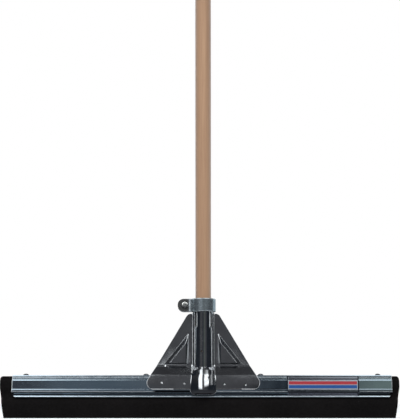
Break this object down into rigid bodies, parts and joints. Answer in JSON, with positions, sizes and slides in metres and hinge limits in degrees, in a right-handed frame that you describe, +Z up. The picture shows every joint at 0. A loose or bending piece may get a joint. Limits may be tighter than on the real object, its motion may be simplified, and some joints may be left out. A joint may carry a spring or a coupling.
{
  "type": "floor squeegee",
  "caption": "Floor squeegee: double foam-rubber blade in a steel channel, pressed two-shell socket with a clamp band, and a round wooden handle.",
  "frame": {"origin": "on the floor under the handle's axis, midway between the two rubber lips; the blade's middle lies 5.2 mm to the -X side, as pictured", "axes": "+X along the blade, to the right of someone facing the front; +Y to the rear; +Z up the handle"},
  "size_m": [0.55, 0.0518, 1.4583],
  "materials": {
    "zinc_coated_steel": "bright zinc-coated sheet, roll-formed",
    "pressed_steel": "dark zinc-plated pressed sheet, worn bright on its edges",
    "galvanised_band": "mottled galvanised strip",
    "bright_fastener": "bright zinc-plated fasteners",
    "foam_rubber": "matt black cellular rubber",
    "handle_wood": "plain turned wood with fine lengthwise grain",
    "label_film": "clear film with plain printed bands"
  },
  "bodies": {
    "head": {"channel": "zinc_coated_steel", "inner_channel": "zinc_coated_steel", "channel_rivet_1": "bright_fastener", "channel_rivet_2": "bright_fastener", "channel_rivet_3": "bright_fastener", "channel_rivet_4": "bright_fastener", "rubber_lip_front": "foam_rubber", "rubber_lip_rear": "foam_rubber", "socket_shell_front": "pressed_steel", "socket_shell_rear": "pressed_steel", "label_film": "label_film"},
    "handle": {"handle": "handle_wood"},
    "band": {"clamp_band": "galvanised_band"},
    "screw": {"clamp_screw": "bright_fastener"},
    "nut": {"clamp_nut": "bright_fastener"}
  },
  "joints": [
    {"name": "handle_slide", "type": "slide", "parent": "head", "child": "handle", "axis": [0, 0, 1], "range_m": [0, 0.12]},
    {"name": "band_turn", "type": "hinge", "parent": "head", "child": "band", "pos_m": [0, 0, 0.1555], "axis": [0, 0, 1], "continuous": true},
    {"name": "screw_turn", "type": "hinge", "parent": "band", "child": "screw", "pos_m": [-0.0259, 0, 0.1555], "axis": [0, 1, 0], "range_deg": [0, 1080]},
    {"name": "nut_travel", "type": "slide", "parent": "band", "child": "nut", "axis": [0, -1, 0], "range_m": [0, 0.0024]}
  ],
  "couplings": [
    {"joint": "screw_turn", "follows": "nut_travel", "rad_per_m": 7853.9}
  ]
}
